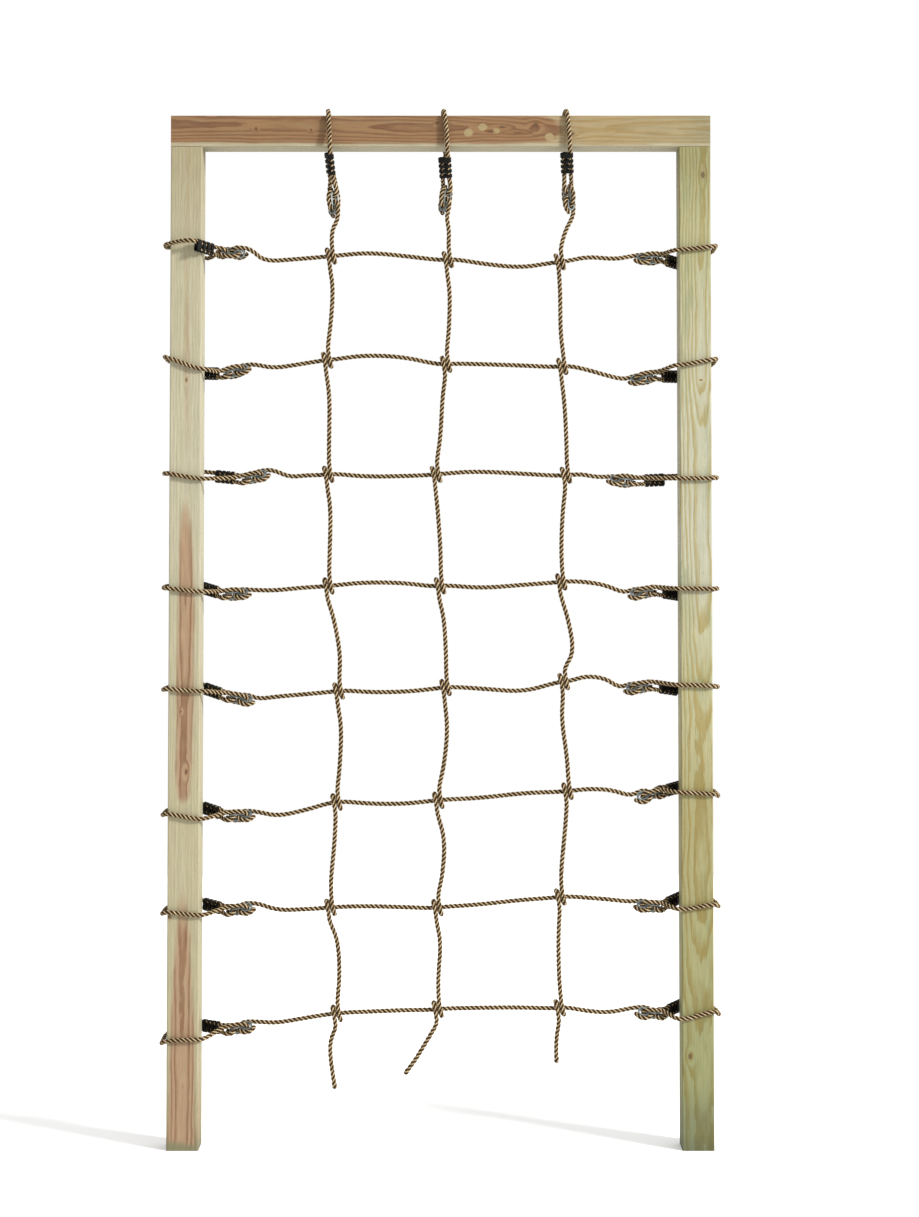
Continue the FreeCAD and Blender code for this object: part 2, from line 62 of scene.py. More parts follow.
SLING_SPAN = 15.8
NET_SPAN = 5.5
EYE_RADIUS = THIMBLE_INNER + THIMBLE_WALL + ROPE_RADIUS
THROAT_TO_END = THIMBLE_INNER + THIMBLE_WALL
LINK_PLAY = 0.3
LINK_LAP = 2 * math.sqrt(THIMBLE_INNER ** 2 - THIMBLE_HALF_WIDTH ** 2) - LINK_PLAY
LINK_LENGTH = 2 * THROAT_TO_END + SLING_SPAN + NET_SPAN + LINK_LAP
LEG_ANGLE = 12.0
LEG_LENGTH = 24.0
LEG_STAND_OFF = 0.55
TUCK_STAND_OFF = 0.7
TUCK_END = (-8.2, -0.4)
SLIDER_LENGTH = 46.0
SLIDER_THICKNESS = 14.6
SLIDER_BORE_OFFSET = 7.5
FIXED_END_DEPTH = 38.0
STRAND_LEAD = 21.0
STRAND_AFTER = 12.0
CORNER_CLEARANCE = 0.9
CORNER_RUN = 6.0
BIGHT_CENTRE = -3.0
BIGHT_EXIT = (-8.0, 11.9)
BIGHT_PLAY = 0.15
BIGHT_RADIUS = math.hypot(THIMBLE_WALL - BIGHT_CENTRE, THIMBLE_HALF_WIDTH) + ROPE_RADIUS + BIGHT_PLAY

# A sling's way round its timber, as (u, distance off the face, share of the rise): over the
# face that the eye's strand lies on, then round the outer side, then over the opposite face
FACE_GAP = 6.0
EYE_STRAND = [(48.0, 4.5, 0.0), (26.0, 7.0, 0.05), (-8.0, FACE_GAP, 0.6), (-34.0, 7.5, 1.0)]
OUTER_TURN = [(-46.0, -3.0, 0.4), (-48.5, -24.0, 0.8)]
BACK_STRAND = [(-48.5, -24.0, 0.1), (-46.0, -3.0, 0.3), (-34.0, 7.5, 0.5)]
# and up to its slider: (u from the slider's strand, share of the way off the face, of the rise)
TO_SLIDER = [(-38.0, 0.4, 0.8), (-18.0, 0.85, 1.0)]

# Rope: three strands laid right-handed
LAY = 31.0                 # along the rope for one turn of the strands
STRAND_RADIUS = 2.85
STRAND_CENTRE = 2.4
RING_PITCH = 1.9           # along the rope between the mesh's rings
RING_POINTS = 24
YARNS = 27                 # yarns seen round the rope
SAMPLES_PER_POINT = 16     # of a route's spline, per control point
TIP_LENGTH = 4.0           # of the rounded end
TIP_TAPER = 0.97           # how far the rope closes at its tip, 1 being to a point
MELT_BULGE = 0.1           # how much thicker a melted end is, this far from the tip
MELT_PLACE = 2.0           # in tip lengths
MELT_SPREAD = 1.5
LAY_START = {"upright": 0.37, "cross": 0.21, "sling": 0.29}   # turns from one rope to the next
RUN_POINT = 14.0           # from a slider strand's corner to the extra point on its run
BEHIND_THROAT = 2.0        # where a slider's strands meet, behind the throat
HALF_CROWN_STEP = 22.5     # half the angle between the points of an eye's crown, in degrees
UPRIGHT_TOP_Y = -4.0       # an upright rope's depth above its first hitch
UPRIGHT_Y = -6.0           # and between two hitches
TAIL_SET_BACK = 1.5        # a tail's depth behind its hitch's last point
MM = 0.001                 # in metres

# Each sling: where its thimble's throat lies, the pull's rise and the thimble's roll in
# degrees, and the height at which the rope crosses the timber. For a side sling u runs from
# the post's centre towards the net, v is Y and w is Z. For a top sling u runs down from the
# beam's centre, v is Y and w is X. "eye_face" is the face that the eye's strand lies on, -1
# for the front. near, far and turn are w on that face's inner edge, on its outer edge and
# round the timber's far side; slider is w where the slider's strands leave the other face;
# gap is the slider's distance from the start of the parallel strands; leg is the standing
# leg's length where there is less room than usual; slant turns the slider about its strands.
SLINGS = {
    "left_sling_1": dict(side="left", throat=(78, -6, 1977), gap=6, leg=15, pitch=0, roll=42, eye_face=1,
                         near=1970, far=1996, turn=1990, slider=1990),
    "left_sling_2": dict(side="left", throat=(87, 0, 1707), gap=6, pitch=14, roll=46, eye_face=-1,
                         near=1714, far=1738, turn=1745, slider=1712),
    "left_sling_3": dict(side="left", throat=(130, 0, 1472), gap=6, pitch=12, roll=40, eye_face=-1,
                         near=1471, far=1482, turn=1484, slider=1482),
    "left_sling_4": dict(side="left", throat=(88, 0, 1215), gap=6, pitch=3, roll=48, eye_face=-1,
                         near=1222, far=1229, turn=1231, slider=1231),
    "left_sling_5": dict(side="left", throat=(98, 0, 988), gap=6, pitch=-10, roll=45, eye_face=-1,
                         near=1003, far=1008, turn=1004, slider=1007),
    "left_sling_6": dict(side="left", throat=(98, 0, 725), gap=8, pitch=2, roll=50, eye_face=-1,
                         near=723, far=735, turn=727, slider=741),
    "left_sling_7": dict(side="left", throat=(100, 0, 518), gap=6, pitch=6, roll=44, eye_face=-1,
                         near=513, far=520, turn=510, slider=527),
    "left_sling_8": dict(side="left", throat=(101, 0, 257), gap=8, pitch=8, roll=47, eye_face=-1,
                         near=243, far=240, turn=226, slider=257),
    "right_sling_1": dict(side="right", throat=(77, 4, 1966), gap=6, leg=15, pitch=-2, roll=44, eye_face=-1,
                          near=1979, far=1986, turn=1993, slider=1958),
    "right_sling_2": dict(side="right", throat=(92, 0, 1701), gap=9, pitch=-12, roll=46, eye_face=-1,
                          near=1723, far=1735, turn=1740, slider=1704),
    "right_sling_3": dict(side="right", throat=(139, 0, 1467), gap=10, pitch=3, roll=50, eye_face=-1,
                          near=1472, far=1472, turn=1475, slider=1473),
    "right_sling_4": dict(side="right", throat=(94, 0, 1223), gap=12, pitch=-10, roll=43, eye_face=-1,
                          near=1229, far=1228, turn=1229, slider=1212),
    "right_sling_5": dict(side="right", throat=(104, 0, 1013), gap=12, pitch=-10, roll=46, eye_face=-1,
                          near=1017, far=1015, turn=1010, slider=1000),
    "right_sling_6": dict(side="right", throat=(81, 0, 777), gap=6, leg=15, pitch=-14, roll=34, eye_face=-1,
                          near=781, far=778, turn=769, slider=786),
    "right_sling_7": dict(side="right", throat=(82, 0, 526), gap=7, leg=15, pitch=3, roll=49, eye_face=-1,
                          near=526, far=537, turn=526, slider=541),
    "right_sling_8": dict(side="right", throat=(80, 0, 291), gap=7, leg=15, pitch=4, roll=44, eye_face=-1,
                          near=287, far=304, turn=289, slider=302),
    "top_sling_left": dict(side="top", throat=(131, 0, -241), gap=20, slant=-60, pitch=4, roll=48,
                           eye_face=1, near=-249, far=-252, turn=-252, slider=-250),
    "top_sling_middle": dict(side="top", throat=(125, 0, 13), gap=5, pitch=-6, roll=44, eye_face=1,
                             near=10, far=6, turn=5, slider=7),
    "top_sling_right": dict(side="top", throat=(123, 0, 285), gap=14, pitch=4, roll=-46, eye_face=1,
                            near=280, far=278, turn=278, slider=279),
}

# Net: where each upright rope is hitched round each cross rope, (x, z), from the top row down
KNOTS = {
    "left": [(-245, 1970), (-253, 1737), (-250, 1482), (-249, 1234),
             (-226, 1001), (-230, 756), (-243, 524), (-229, 292)],
    "middle": [(16, 1962), (12, 1728), (-10, 1482), (-1, 1234),
               (11, 1009), (-5, 760), (-7, 524), (-6, 301)],
    "right": [(266, 1957), (271, 1723), (279, 1480), (268, 1243),
              (273, 1022), (281, 780), (265, 547), (263, 304)],
}

# Points of each upright rope between its knots, (x, z), below its eye and then row by row
UPRIGHT_BENDS = {
    "left": [[(-242, 2030)], [(-240, 1898), (-244, 1826)], [(-247, 1655), (-248, 1566)],
             [(-244, 1402), (-246, 1318)], [(-236, 1160), (-222, 1082)],
             [(-219, 918), (-223, 832)], [(-234, 668), (-242, 590)], [(-226, 452), (-222, 376)]],
    "middle": [[(19, 2028)], [(21, 1886), (19, 1808)], [(4, 1654), (0, 1566)],
               [(-6, 1398), (0, 1316)], [(8, 1160), (12, 1088)],
               [(16, 916), (8, 838)], [(10, 674), (5, 598)], [(1, 446), (-5, 376)]],
    "right": [[(279, 2028)], [(267, 1880), (267, 1802)], [(276, 1640), (280, 1562)],
              [(271, 1396), (268, 1322)], [(284, 1158), (296, 1088)],
              [(268, 938), (280, 856)], [(275, 690), (267, 612)], [(260, 462), (261, 382)]],
}

# Points of each cross rope between its knots, (x, z): left span, two inner spans, right span
CROSS_BENDS = [
    [[(-394, 1958), (-326, 1963)], [(-160, 1978), (-76, 1970)], [(100, 1952), (180, 1944)],
     [(330, 1969), (388, 1963)]],
    [[(-372, 1719), (-314, 1728)], [(-172, 1748), (-86, 1745)], [(96, 1728), (184, 1725)],
     [(326, 1716), (366, 1704)]],
    [[(-336, 1476), (-300, 1480)], [(-168, 1477), (-90, 1478)], [(76, 1489), (176, 1484)],
     [(316, 1482), (342, 1477)]],
    [[(-366, 1224), (-310, 1230)], [(-168, 1242), (-84, 1241)], [(90, 1229), (180, 1236)],
     [(322, 1243), (366, 1236)]],
    [[(-362, 989), (-300, 994)], [(-148, 998), (-68, 1000)], [(96, 1006), (184, 999)],
     [(322, 1034), (364, 1030)]],
    [[(-360, 725), (-300, 738)], [(-154, 752), (-80, 752)], [(90, 765), (184, 776)],
     [(330, 785), (378, 783)]],
    [[(-360, 518), (-304, 520)], [(-162, 527), (-84, 525)], [(82, 530), (172, 540)],
     [(318, 546), (370, 542)]],
    [[(-360, 271), (-298, 282)], [(-152, 296), (-78, 299)], [(84, 304), (176, 305)],
     [(316, 298), (370, 293)]],
]

# Tails: points below the last knot, (x, z)
TAILS = {
    "left": [(-242, 236), (-243, 205), (-239, 172), (-232, 128)],
    "middle": [(-22, 246), (-38, 220), (-56, 190), (-79, 160)],
    "right": [(257, 250), (255, 226), (255, 202), (256, 184)],
}

# One hitch: the upright rope's turn round a cross rope, from above to below, offsets in
# X, Y and Z from the crossing's centre. Its two loops reach up to 2 mm further out than the
# CAD's, because the smooth line cuts inside them.
HITCH = [
    (1.6, -8.0, 30.0), (3.2, -10.4, 15.0), (5.5, -11.4, 0.5), (9.4, -8.2, -13.3),
    (8.8, 3.8, -15.2), (3.2, 11.6, -5.9), (-3.2, 11.6, 5.9), (-8.8, 3.8, 15.2),
    (-9.4, -8.2, 13.3), (-5.5, -11.4, -0.5), (-3.2, -10.4, -15.0), (-1.6, -8.0, -30.0),
]

# How far a cross rope is dragged up or down on each side of a hitch, (x offset, z offset)
KINK = [(-15.0, -1.5), (15.0, 1.5)]

# Lengths of the ropes, in metres
CROSS_LENGTHS = (1.07, 1.04, 0.95, 1.03, 1.02, 1.04, 1.03, 1.03)
SLING_LENGTHS = {
    "left": (0.58, 0.59, 0.65, 0.59, 0.60, 0.61, 0.60, 0.62),
    "right": (0.58, 0.60, 0.67, 0.60, 0.62, 0.58, 0.59, 0.59),
    "top": (0.67, 0.64, 0.65),
}


def metres(points):
    return [Vector(p) * MM for p in points]


def square_to(vector, axis):
    """The unit vector nearest to vector that is square to axis."""
    return (vector - axis * vector.dot(axis)).normalized()


def eye_route(throat, pull, across, span=NET_SPAN, leg_length=LEG_LENGTH):
    """Points of a rope's eye round its thimble, from the rope's end to its standing leg."""
    leg = math.radians(LEG_ANGLE)
    end_centre = throat + pull * THROAT_TO_END
    crown_centre = end_centre + pull * span
    corner = math.radians(HALF_CROWN_STEP)
    reach = EYE_RADIUS / math.cos(corner)
    crown = []
    for turn in (-3, -1, 1, 3):
        crown.append(crown_centre + pull * (reach * math.cos(turn * corner))
                     + across * (reach * math.sin(turn * corner)))
    end = throat + pull * TUCK_END[0] + across * TUCK_END[1]
    tuck = (end_centre - pull * (reach * math.sin(corner) + TUCK_STAND_OFF)
            - across * (EYE_RADIUS + TUCK_STAND_OFF))
    shoulder = end_centre - pull * (EYE_RADIUS * math.tan(leg / 2)) + across * (EYE_RADIUS + LEG_STAND_OFF)
    leg_end = shoulder - pull * (leg_length * math.cos(leg)) - across * (leg_length * math.sin(leg))
    return [end, tuck] + crown + [shoulder, leg_end]


def to_world(side, u, v, w):
    """A point given from the centre of the post or beam that a sling goes round."""
    if side == "left":
        return Vector((-POST_X + u, v, w))
    if side == "right":
        return Vector((POST_X - u, v, w))
    return Vector((w, v, BEAM_Z - u))


def sling_frame(sling):
    """(throat, pull, roll axis of the thimble's hole, across) of a sling, in its own axes."""
    throat = Vector(sling["throat"])
    pitch = math.radians(sling["pitch"])
    pull = Vector((math.cos(pitch), 0, math.sin(pitch)))
    upright = square_to(Vector((0, 0, 1)), pull)
    back = Vector((0, -sling["eye_face"], 0))
    roll = math.radians(sling["roll"])
    hole = upright * math.cos(roll) + back * math.sin(roll)
    across = back * math.cos(roll) - upright * math.sin(roll)
    return throat, pull, hole, across


def slider_line(sling):
    """(start, direction, run, upright) of the line that a sling's slider runs along."""
    throat, pull, _, _ = sling_frame(sling)
    face = -sling["eye_face"]
    behind = throat - pull * BEHIND_THROAT
    to_corner = Vector((TIMBER / 2 - behind.x, face * TIMBER / 2 - behind.y, 0))
    clearance = SLIDER_THICKNESS / 2 + CORNER_CLEARANCE
    shortest = sling["gap"] + SLIDER_LENGTH + STRAND_AFTER
    aside = math.asin(clearance / to_corner.length)
    angle = math.atan2(to_corner.y, to_corner.x) - face * aside
    to_passing = to_corner.length * math.cos(aside)
    run = max(to_passing - STRAND_LEAD + CORNER_RUN, shortest)
    rise = sling["slider"] - behind.z
    level = Vector((math.cos(angle), math.sin(angle), 0))
    direction = (level * (STRAND_LEAD + run) + Vector((0, 0, rise))).normalized()
    start = behind + direction * STRAND_LEAD
    upright = square_to(Vector((0, 0, 1)), direction)
    aslant = math.radians(sling.get("slant", 0))
    upright = upright * math.cos(aslant) + direction.cross(upright) * math.sin(aslant)
    return start, direction, run, upright


def sling_route(sling):
    """Points of one sling, in its own axes, from its eye round the timber to its fixed end."""
    throat, pull, hole, across = sling_frame(sling)
    start, along, run, upright = slider_line(sling)
    face = sling["eye_face"]
    half = TIMBER / 2
    near, far, turn = sling["near"], sling["far"], sling["turn"]
    upper = start + along * run + upright * SLIDER_BORE_OFFSET
    stand_off = abs(upper.y) - half - FACE_GAP
    eye = eye_route(throat, pull, across * -1, SLING_SPAN, sling.get("leg", LEG_LENGTH))
    round_timber = [Vector((u, face * (half + off), near + (far - near) * share))
                    for u, off, share in EYE_STRAND]
    round_timber += [Vector((u, face * (half + off), far + (turn - far) * share))
                     for u, off, share in OUTER_TURN]
    round_timber += [Vector((u, -face * (half + off), turn + (upper.z - turn) * share))
                     for u, off, share in BACK_STRAND]
    round_timber += [Vector((upper.x + u, -face * (half + FACE_GAP + stand_off * out),
                             turn + (upper.z - turn) * share)) for u, out, share in TO_SLIDER]
    bight = throat + pull * BIGHT_CENTRE
    reach = BIGHT_RADIUS / math.cos(math.pi / 6)
    strand_in = start + upright * SLIDER_BORE_OFFSET
    strand_out = start - upright * SLIDER_BORE_OFFSET
    fixed_end = start + along * (sling["gap"] + FIXED_END_DEPTH) - upright * SLIDER_BORE_OFFSET
    leaving = throat + pull * BIGHT_EXIT[0]
    to_thimble = [upper, upper - along * RUN_POINT, strand_in + along * RUN_POINT, strand_in]
    turn_back = [
        leaving + hole * BIGHT_EXIT[1],
        bight + pull * (reach / 2) + hole * BIGHT_RADIUS,
        bight + pull * reach,
        bight + pull * (reach / 2) - hole * BIGHT_RADIUS,
        leaving - hole * BIGHT_EXIT[1],
    ]
    to_fixed_end = [strand_out, strand_out + along * RUN_POINT, fixed_end]
    return eye + round_timber + to_thimble + turn_back + to_fixed_end


def in_world(sling, points):
    return [to_world(sling["side"], p.x, p.y, p.z) for p in points]


def world_direction(sling, direction):
    origin = to_world(sling["side"], 0, 0, 0)
    return to_world(sling["side"], direction.x, direction.y, direction.z) - origin


def net_throat(name):
    """(throat, pull from it back towards the timber, across) of the net rope's own thimble."""
    sling = SLINGS[name]
    throat, pull, hole, _ = sling_frame(sling)
    place = in_world(sling, [throat + pull * LINK_LENGTH])[0]
    return place, world_direction(sling, pull * -1), world_direction(sling, hole)


def upright_route(name):
    """Points of one upright rope: its eye on the top sling, hitch after hitch, and its tail."""
    points = eye_route(*net_throat(f"top_sling_{name}"))
    bends = UPRIGHT_BENDS[name]
    points += [Vector((x, UPRIGHT_TOP_Y, z)) for x, z in bends[0]]
    for row, (x, z) in enumerate(KNOTS[name]):
        points += [Vector((x + dx, dy, z + dz)) for dx, dy, dz in HITCH]
        if row + 1 < len(bends):
            points += [Vector((bx, UPRIGHT_Y, bz)) for bx, bz in bends[row + 1]]
    return points + [Vector((x, HITCH[-1][1] + TAIL_SET_BACK, z)) for x, z in TAILS[name]]


def cross_route(row):
    """Points of one cross rope: eye, span, knot, span, knot, span, knot, span, eye."""
    points = eye_route(*net_throat(f"left_sling_{row + 1}"))
    for span, knots in zip(CROSS_BENDS[row], ("left", "middle", "right", None)):
        points += [Vector((x, 0, z)) for x, z in span]
        if knots:
            x, z = KNOTS[knots][row]
            points += [Vector((x + dx, 0, z + dz)) for dx, dz in KINK]
    return points + eye_route(*net_throat(f"right_sling_{row + 1}"))[::-1]


def spline_points(points):
    """Points along the smooth line of a route, as Blender's own NURBS spline gives them."""
    curve = bpy.data.curves.new("route", "CURVE")
    curve.dimensions = "3D"
    spline = curve.splines.new("NURBS")
    spline.points.add(len(points) - 1)
    for point, place in zip(spline.points, points):
        point.co = (*place, 1)
    spline.order_u = 3
    spline.use_endpoint_u = True
    spline.resolution_u = SAMPLES_PER_POINT
    holder = bpy.data.objects.new("route", curve)
    mesh = bpy.data.meshes.new_from_object(holder)
    line = np.array([v.co for v in mesh.vertices])
    bpy.data.objects.remove(holder)
    bpy.data.curves.remove(curve)
    bpy.data.meshes.remove(mesh)
    return line


def even_points(line, pitch):
    """The line's points at an even pitch, and each one's distance from the start."""
    steps = np.linalg.norm(np.diff(line, axis=0), axis=1)
    at = np.concatenate([[0], np.cumsum(steps)])
    count = int(round(at[-1] / pitch)) + 1
    places = np.linspace(0, at[-1], count)
    return np.column_stack([np.interp(places, at, line[:, i]) for i in range(3)]), places


def carried_frames(line):
    """Two unit sides square to the line at each of its points, with no twist of their own."""
    along_no_rope = (0.3, 0.9, 0.1)
    tangents = np.gradient(line, axis=0)
    tangents /= np.linalg.norm(tangents, axis=1)[:, None]
    side = np.cross(tangents[0], along_no_rope)
    firsts = []
    for tangent in tangents:
        side = side - tangent * (side @ tangent)
        side /= np.linalg.norm(side)
        firsts.append(side)
    return np.array(firsts), np.cross(tangents, firsts)


def strand_outline():
    """Angle, radius and depth in the groove (0 to 1) of each point round a three-strand rope."""
    angles = np.arange(RING_POINTS) * 2 * math.pi / RING_POINTS
    from_crest = np.mod(angles, 2 * math.pi / 3) - math.pi / 3
    middle = STRAND_CENTRE * np.cos(from_crest)
    rest = np.sqrt(STRAND_RADIUS ** 2 - (STRAND_CENTRE * np.sin(from_crest)) ** 2)
    return angles, (middle + rest) * MM, np.abs(from_crest) / (math.pi / 3)


def end_scale(places, melted_end):
    """How full the rope is along its length: both tips are rounded, a melted one is thicker."""
    tip = TIP_LENGTH * MM
    from_end = np.minimum(places, places[-1] - places)
    inside = np.clip(1 - from_end / tip, 0, 1)
    scale = np.sqrt(1 - TIP_TAPER * inside ** 2)
    if melted_end:
        bulge = np.exp(-((places[-1] - places - MELT_PLACE * tip) / (MELT_SPREAD * tip)) ** 2)
        scale = scale * (1 + MELT_BULGE * bulge)
    return scale


def laid_rope(name, route, phase, melted_end=False):
    """The mesh of a laid rope along a route in metres, and the line it follows."""
    line, places = even_points(spline_points(route), RING_PITCH * MM)
    first, second = carried_frames(line)
    angles, radii, groove = strand_outline()
    turns = places / (LAY * MM) + phase
    around = angles[None, :] + 2 * math.pi * turns[:, None]
    size = radii[None, :] * end_scale(places, melted_end)[:, None]
    points = (line[:, None, :]
              + (size * np.cos(around))[:, :, None] * first[:, None, :]
              + (size * np.sin(around))[:, :, None] * second[:, None, :])
    rings = len(line)
    corner = np.arange((rings - 1) * RING_POINTS).reshape(rings - 1, RING_POINTS)
    beside = np.roll(corner, -1, axis=1)
    faces = np.stack([corner, beside, beside + RING_POINTS, corner + RING_POINTS], axis=2).reshape(-1, 4)
    caps = [list(range(RING_POINTS))[::-1], list(range((rings - 1) * RING_POINTS, rings * RING_POINTS))]
    mesh = bpy.data.meshes.new(name)
    mesh.from_pydata(points.reshape(-1, 3).tolist(), [], faces.tolist() + caps)
    mesh.shade_smooth()
    store_rope_coordinates(mesh, np.tile(groove, rings), turns)
    return bpy.data.objects.new(name, mesh), line


def store_rope_coordinates(mesh, groove, turns):
    """Point values that the rope material reads: how deep in a groove, and a map of the yarns."""
    mesh.attributes.new("groove", "FLOAT", "POINT").data.foreach_set("value", groove)
    around = np.arange(RING_POINTS + 1) / RING_POINTS
    left, right = np.meshgrid(around[:-1], turns[:-1])
    step = 1 / RING_POINTS
    rise = (turns[1:] - turns[:-1])[:, None] + 0 * left
    corners = np.stack([left, right, left + step, right,
                        left + step, right + rise, left, right + rise], axis=2)
    caps = np.zeros(4 * RING_POINTS)
    layer = mesh.uv_layers.new(name="yarns")
    layer.data.foreach_set("uv", np.concatenate([corners.ravel(), caps]))


def hang(rope):
    bpy.context.scene.collection.objects.link(rope)
    rope.data.materials.append(rope_material)


# Materials: colours are linear, and texture scales are per metre

def rgb(red, green, blue):
    return (red, green, blue, 1)


def new_material(name):
    """A material with nothing but its Principled shader, and its node tree."""
    material = bpy.data.materials.new(name)
    material.use_nodes = True
    return material, material.node_tree


def shader_of(tree):
    return tree.nodes["Principled BSDF"]


def add(tree, kind, inputs=None, **settings):
    """A node with these settings; inputs maps a socket's name or place to a value or a socket."""
    made = tree.nodes.new(kind)
    for key, value in settings.items():
        setattr(made, key, value)
    for key, value in (inputs or {}).items():
        if isinstance(value, bpy.types.NodeSocket):
            tree.links.new(value, made.inputs[key])
        else:
            made.inputs[key].default_value = value
    return made


def object_place(tree):
    """The place on the object in the shared frame, in metres."""
    return add(tree, "ShaderNodeTexCoord").outputs["Object"]


def calc(tree, operation, *values, clamp=False):
    """The result of one Math node."""
    made = add(tree, "ShaderNodeMath", dict(enumerate(values)), operation=operation, use_clamp=clamp)
    return made.outputs[0]


def swung(tree, value, width, middle):
    """The middle, moved to both sides by a noise value, over this width in all."""
    return calc(tree, "MULTIPLY_ADD", calc(tree, "SUBTRACT", value, 0.5), width, middle)


def smooth(tree, value, low, high):
    """0 below low, 1 above high, and a smooth step between them."""
    made = add(tree, "ShaderNodeMapRange", {0: value, 1: low, 2: high}, interpolation_type="SMOOTHSTEP")
    return made.outputs[0]


def blend(tree, factor, first, second, kind="MIX"):
    """A mix of two colours."""
    made = add(tree, "ShaderNodeMix", {0: factor, 6: first, 7: second}, data_type="RGBA", blend_type=kind)
    return made.outputs[2]


def noise(tree, vector, scale, detail=3.0, roughness=0.55):
    made = add(tree, "ShaderNodeTexNoise",
               {"Vector": vector, "Scale": scale, "Detail": detail, "Roughness": roughness})
    return made.outputs["Fac"]


def ramp(tree, value, points):
    """A colour read from a table of (place, colour), with smooth joins; a single number gives a grey."""
    made = add(tree, "ShaderNodeValToRGB", {0: value})
    made.color_ramp.interpolation = "EASE"
    while len(made.color_ramp.elements) < len(points):
        made.color_ramp.elements.new(0.5)
    for element, (place, colour) in zip(made.color_ramp.elements, points):
        element.position = place
        element.color = colour if isinstance(colour, tuple) else rgb(colour, colour, colour)
    return made.outputs[0]


def bumped(tree, height, distance, strength=1.0):
    made = add(tree, "ShaderNodeBump", {"Height": height, "Distance": distance, "Strength": strength})
    tree.links.new(made.outputs[0], shader_of(tree).inputs["Normal"])


# The rope's brown with painted light: a painted highlight on a strand's crest, 0, and painted shade down to
# the bottom of its groove, 1
ROPE_PAINTED_CREST_HIGHLIGHT_TO_GROOVE_SHADE = [
    (0.0, rgb(0.600, 0.480, 0.290)),
    (0.22, rgb(0.400, 0.290, 0.150)),
    (0.42, rgb(0.120, 0.070, 0.029)),
    (0.62, rgb(0.044, 0.024, 0.010)),
    (1.0, rgb(0.012, 0.006, 0.003)),
]
ROPE_CLEAN = rgb(1.0, 1.0, 1.0)
ROPE_WORN = rgb(0.66, 0.60, 0.52)
YARN_SHADES = [(0.0, 0.62), (0.6, 1.0)]
FLECK_REACH = 1.1          # how far a fleck moves the colour between crest and groove
YARN_WANDER = 2.2          # how far a fleck bends the yarns, in radians of their ripple


def make_rope_material():
    """Brown split-film rope: a painted highlight on its crests, painted shade in its grooves, and yarns
    that run along the rope.
    """
    material, tree = new_material("laid_rope")
    shader = shader_of(tree)
    place = object_place(tree)
    groove = add(tree, "ShaderNodeAttribute", attribute_name="groove").outputs["Fac"]
    yarns = add(tree, "ShaderNodeSeparateXYZ", {0: add(tree, "ShaderNodeUVMap", uv_map="yarns").outputs[0]})
    fleck = noise(tree, place, scale=420.0, detail=2.0)
    patch = noise(tree, place, scale=38.0, detail=2.0)
    around = calc(tree, "ADD", yarns.outputs[0], yarns.outputs[1])
    wander = calc(tree, "MULTIPLY", fleck, YARN_WANDER)
    phase = calc(tree, "MULTIPLY_ADD", around, 2 * math.pi * YARNS, wander)
    ripple = calc(tree, "MULTIPLY_ADD", calc(tree, "SINE", phase), 0.5, 0.5)
    # Painted highlight on the strands' crests and painted shade in their grooves, set by the depth in the
    # groove
    colour = ramp(tree, swung(tree, fleck, FLECK_REACH, groove), ROPE_PAINTED_CREST_HIGHLIGHT_TO_GROOVE_SHADE)
    wear = calc(tree, "MULTIPLY", smooth(tree, patch, 0.35, 0.7), 0.5)
    worn = blend(tree, wear, ROPE_CLEAN, ROPE_WORN)
    colour = blend(tree, 1.0, colour, worn, "MULTIPLY")
    colour = blend(tree, 1.0, colour, ramp(tree, ripple, YARN_SHADES), "MULTIPLY")
    tree.links.new(colour, shader.inputs["Base Color"])
    shader.inputs["Roughness"].default_value = 0.7
    shader.inputs["Specular IOR Level"].default_value = 0.15
    height = calc(tree, "MULTIPLY_ADD", ripple, 0.7, calc(tree, "MULTIPLY", fleck, 0.6))
    bumped(tree, height, distance=0.0005, strength=0.7)
    return material


PLASTIC = rgb(0.0022, 0.0022, 0.0018)
PLASTIC_DUST = rgb(0.014, 0.013, 0.010)


def make_slider_material():
    """Black moulded plastic with a slight grain, and dust where it has rubbed."""
    material, tree = new_material("black_slider")
    shader = shader_of(tree)
    place = object_place(tree)
    grain = noise(tree, place, scale=1600.0, detail=2.0)
    dust = smooth(tree, noise(tree, place, scale=90.0, detail=4.0), 0.52, 0.8)
    colour = blend(tree, calc(tree, "MULTIPLY", dust, 0.4), PLASTIC, PLASTIC_DUST)
    tree.links.new(colour, shader.inputs["Base Color"])
    shader.inputs["Specular IOR Level"].default_value = 0.12
    tree.links.new(calc(tree, "MULTIPLY_ADD", dust, 0.2, 0.55), shader.inputs["Roughness"])
    bumped(tree, grain, distance=0.0002, strength=0.5)
    return material


ZINC_DARK = rgb(0.170, 0.190, 0.185)
ZINC_BRIGHT = rgb(0.420, 0.450, 0.440)
ZINC_ROUGHNESS = 0.38      # where it isn't dull


def make_steel_material(name):
    """Zinc-coated steel, mottled by its spangle, with duller patches."""
    material, tree = new_material(name)
    shader = shader_of(tree)
    place = object_place(tree)
    cells = add(tree, "ShaderNodeTexVoronoi", {"Vector": place, "Scale": 260.0}).outputs["Color"]
    spangle = add(tree, "ShaderNodeSeparateColor", {0: cells}).outputs[0]
    dull = smooth(tree, noise(tree, place, scale=120.0), 0.4, 0.7)
    mottle = calc(tree, "MULTIPLY_ADD", spangle, 0.5, calc(tree, "MULTIPLY", dull, -0.35))
    tree.links.new(blend(tree, mottle, ZINC_DARK, ZINC_BRIGHT), shader.inputs["Base Color"])
    shader.inputs["Metallic"].default_value = 0.9
    tree.links.new(calc(tree, "MULTIPLY_ADD", dull, 0.22, ZINC_ROUGHNESS), shader.inputs["Roughness"])
    bumped(tree, noise(tree, place, scale=700.0), distance=0.0002, strength=0.4)
    return material
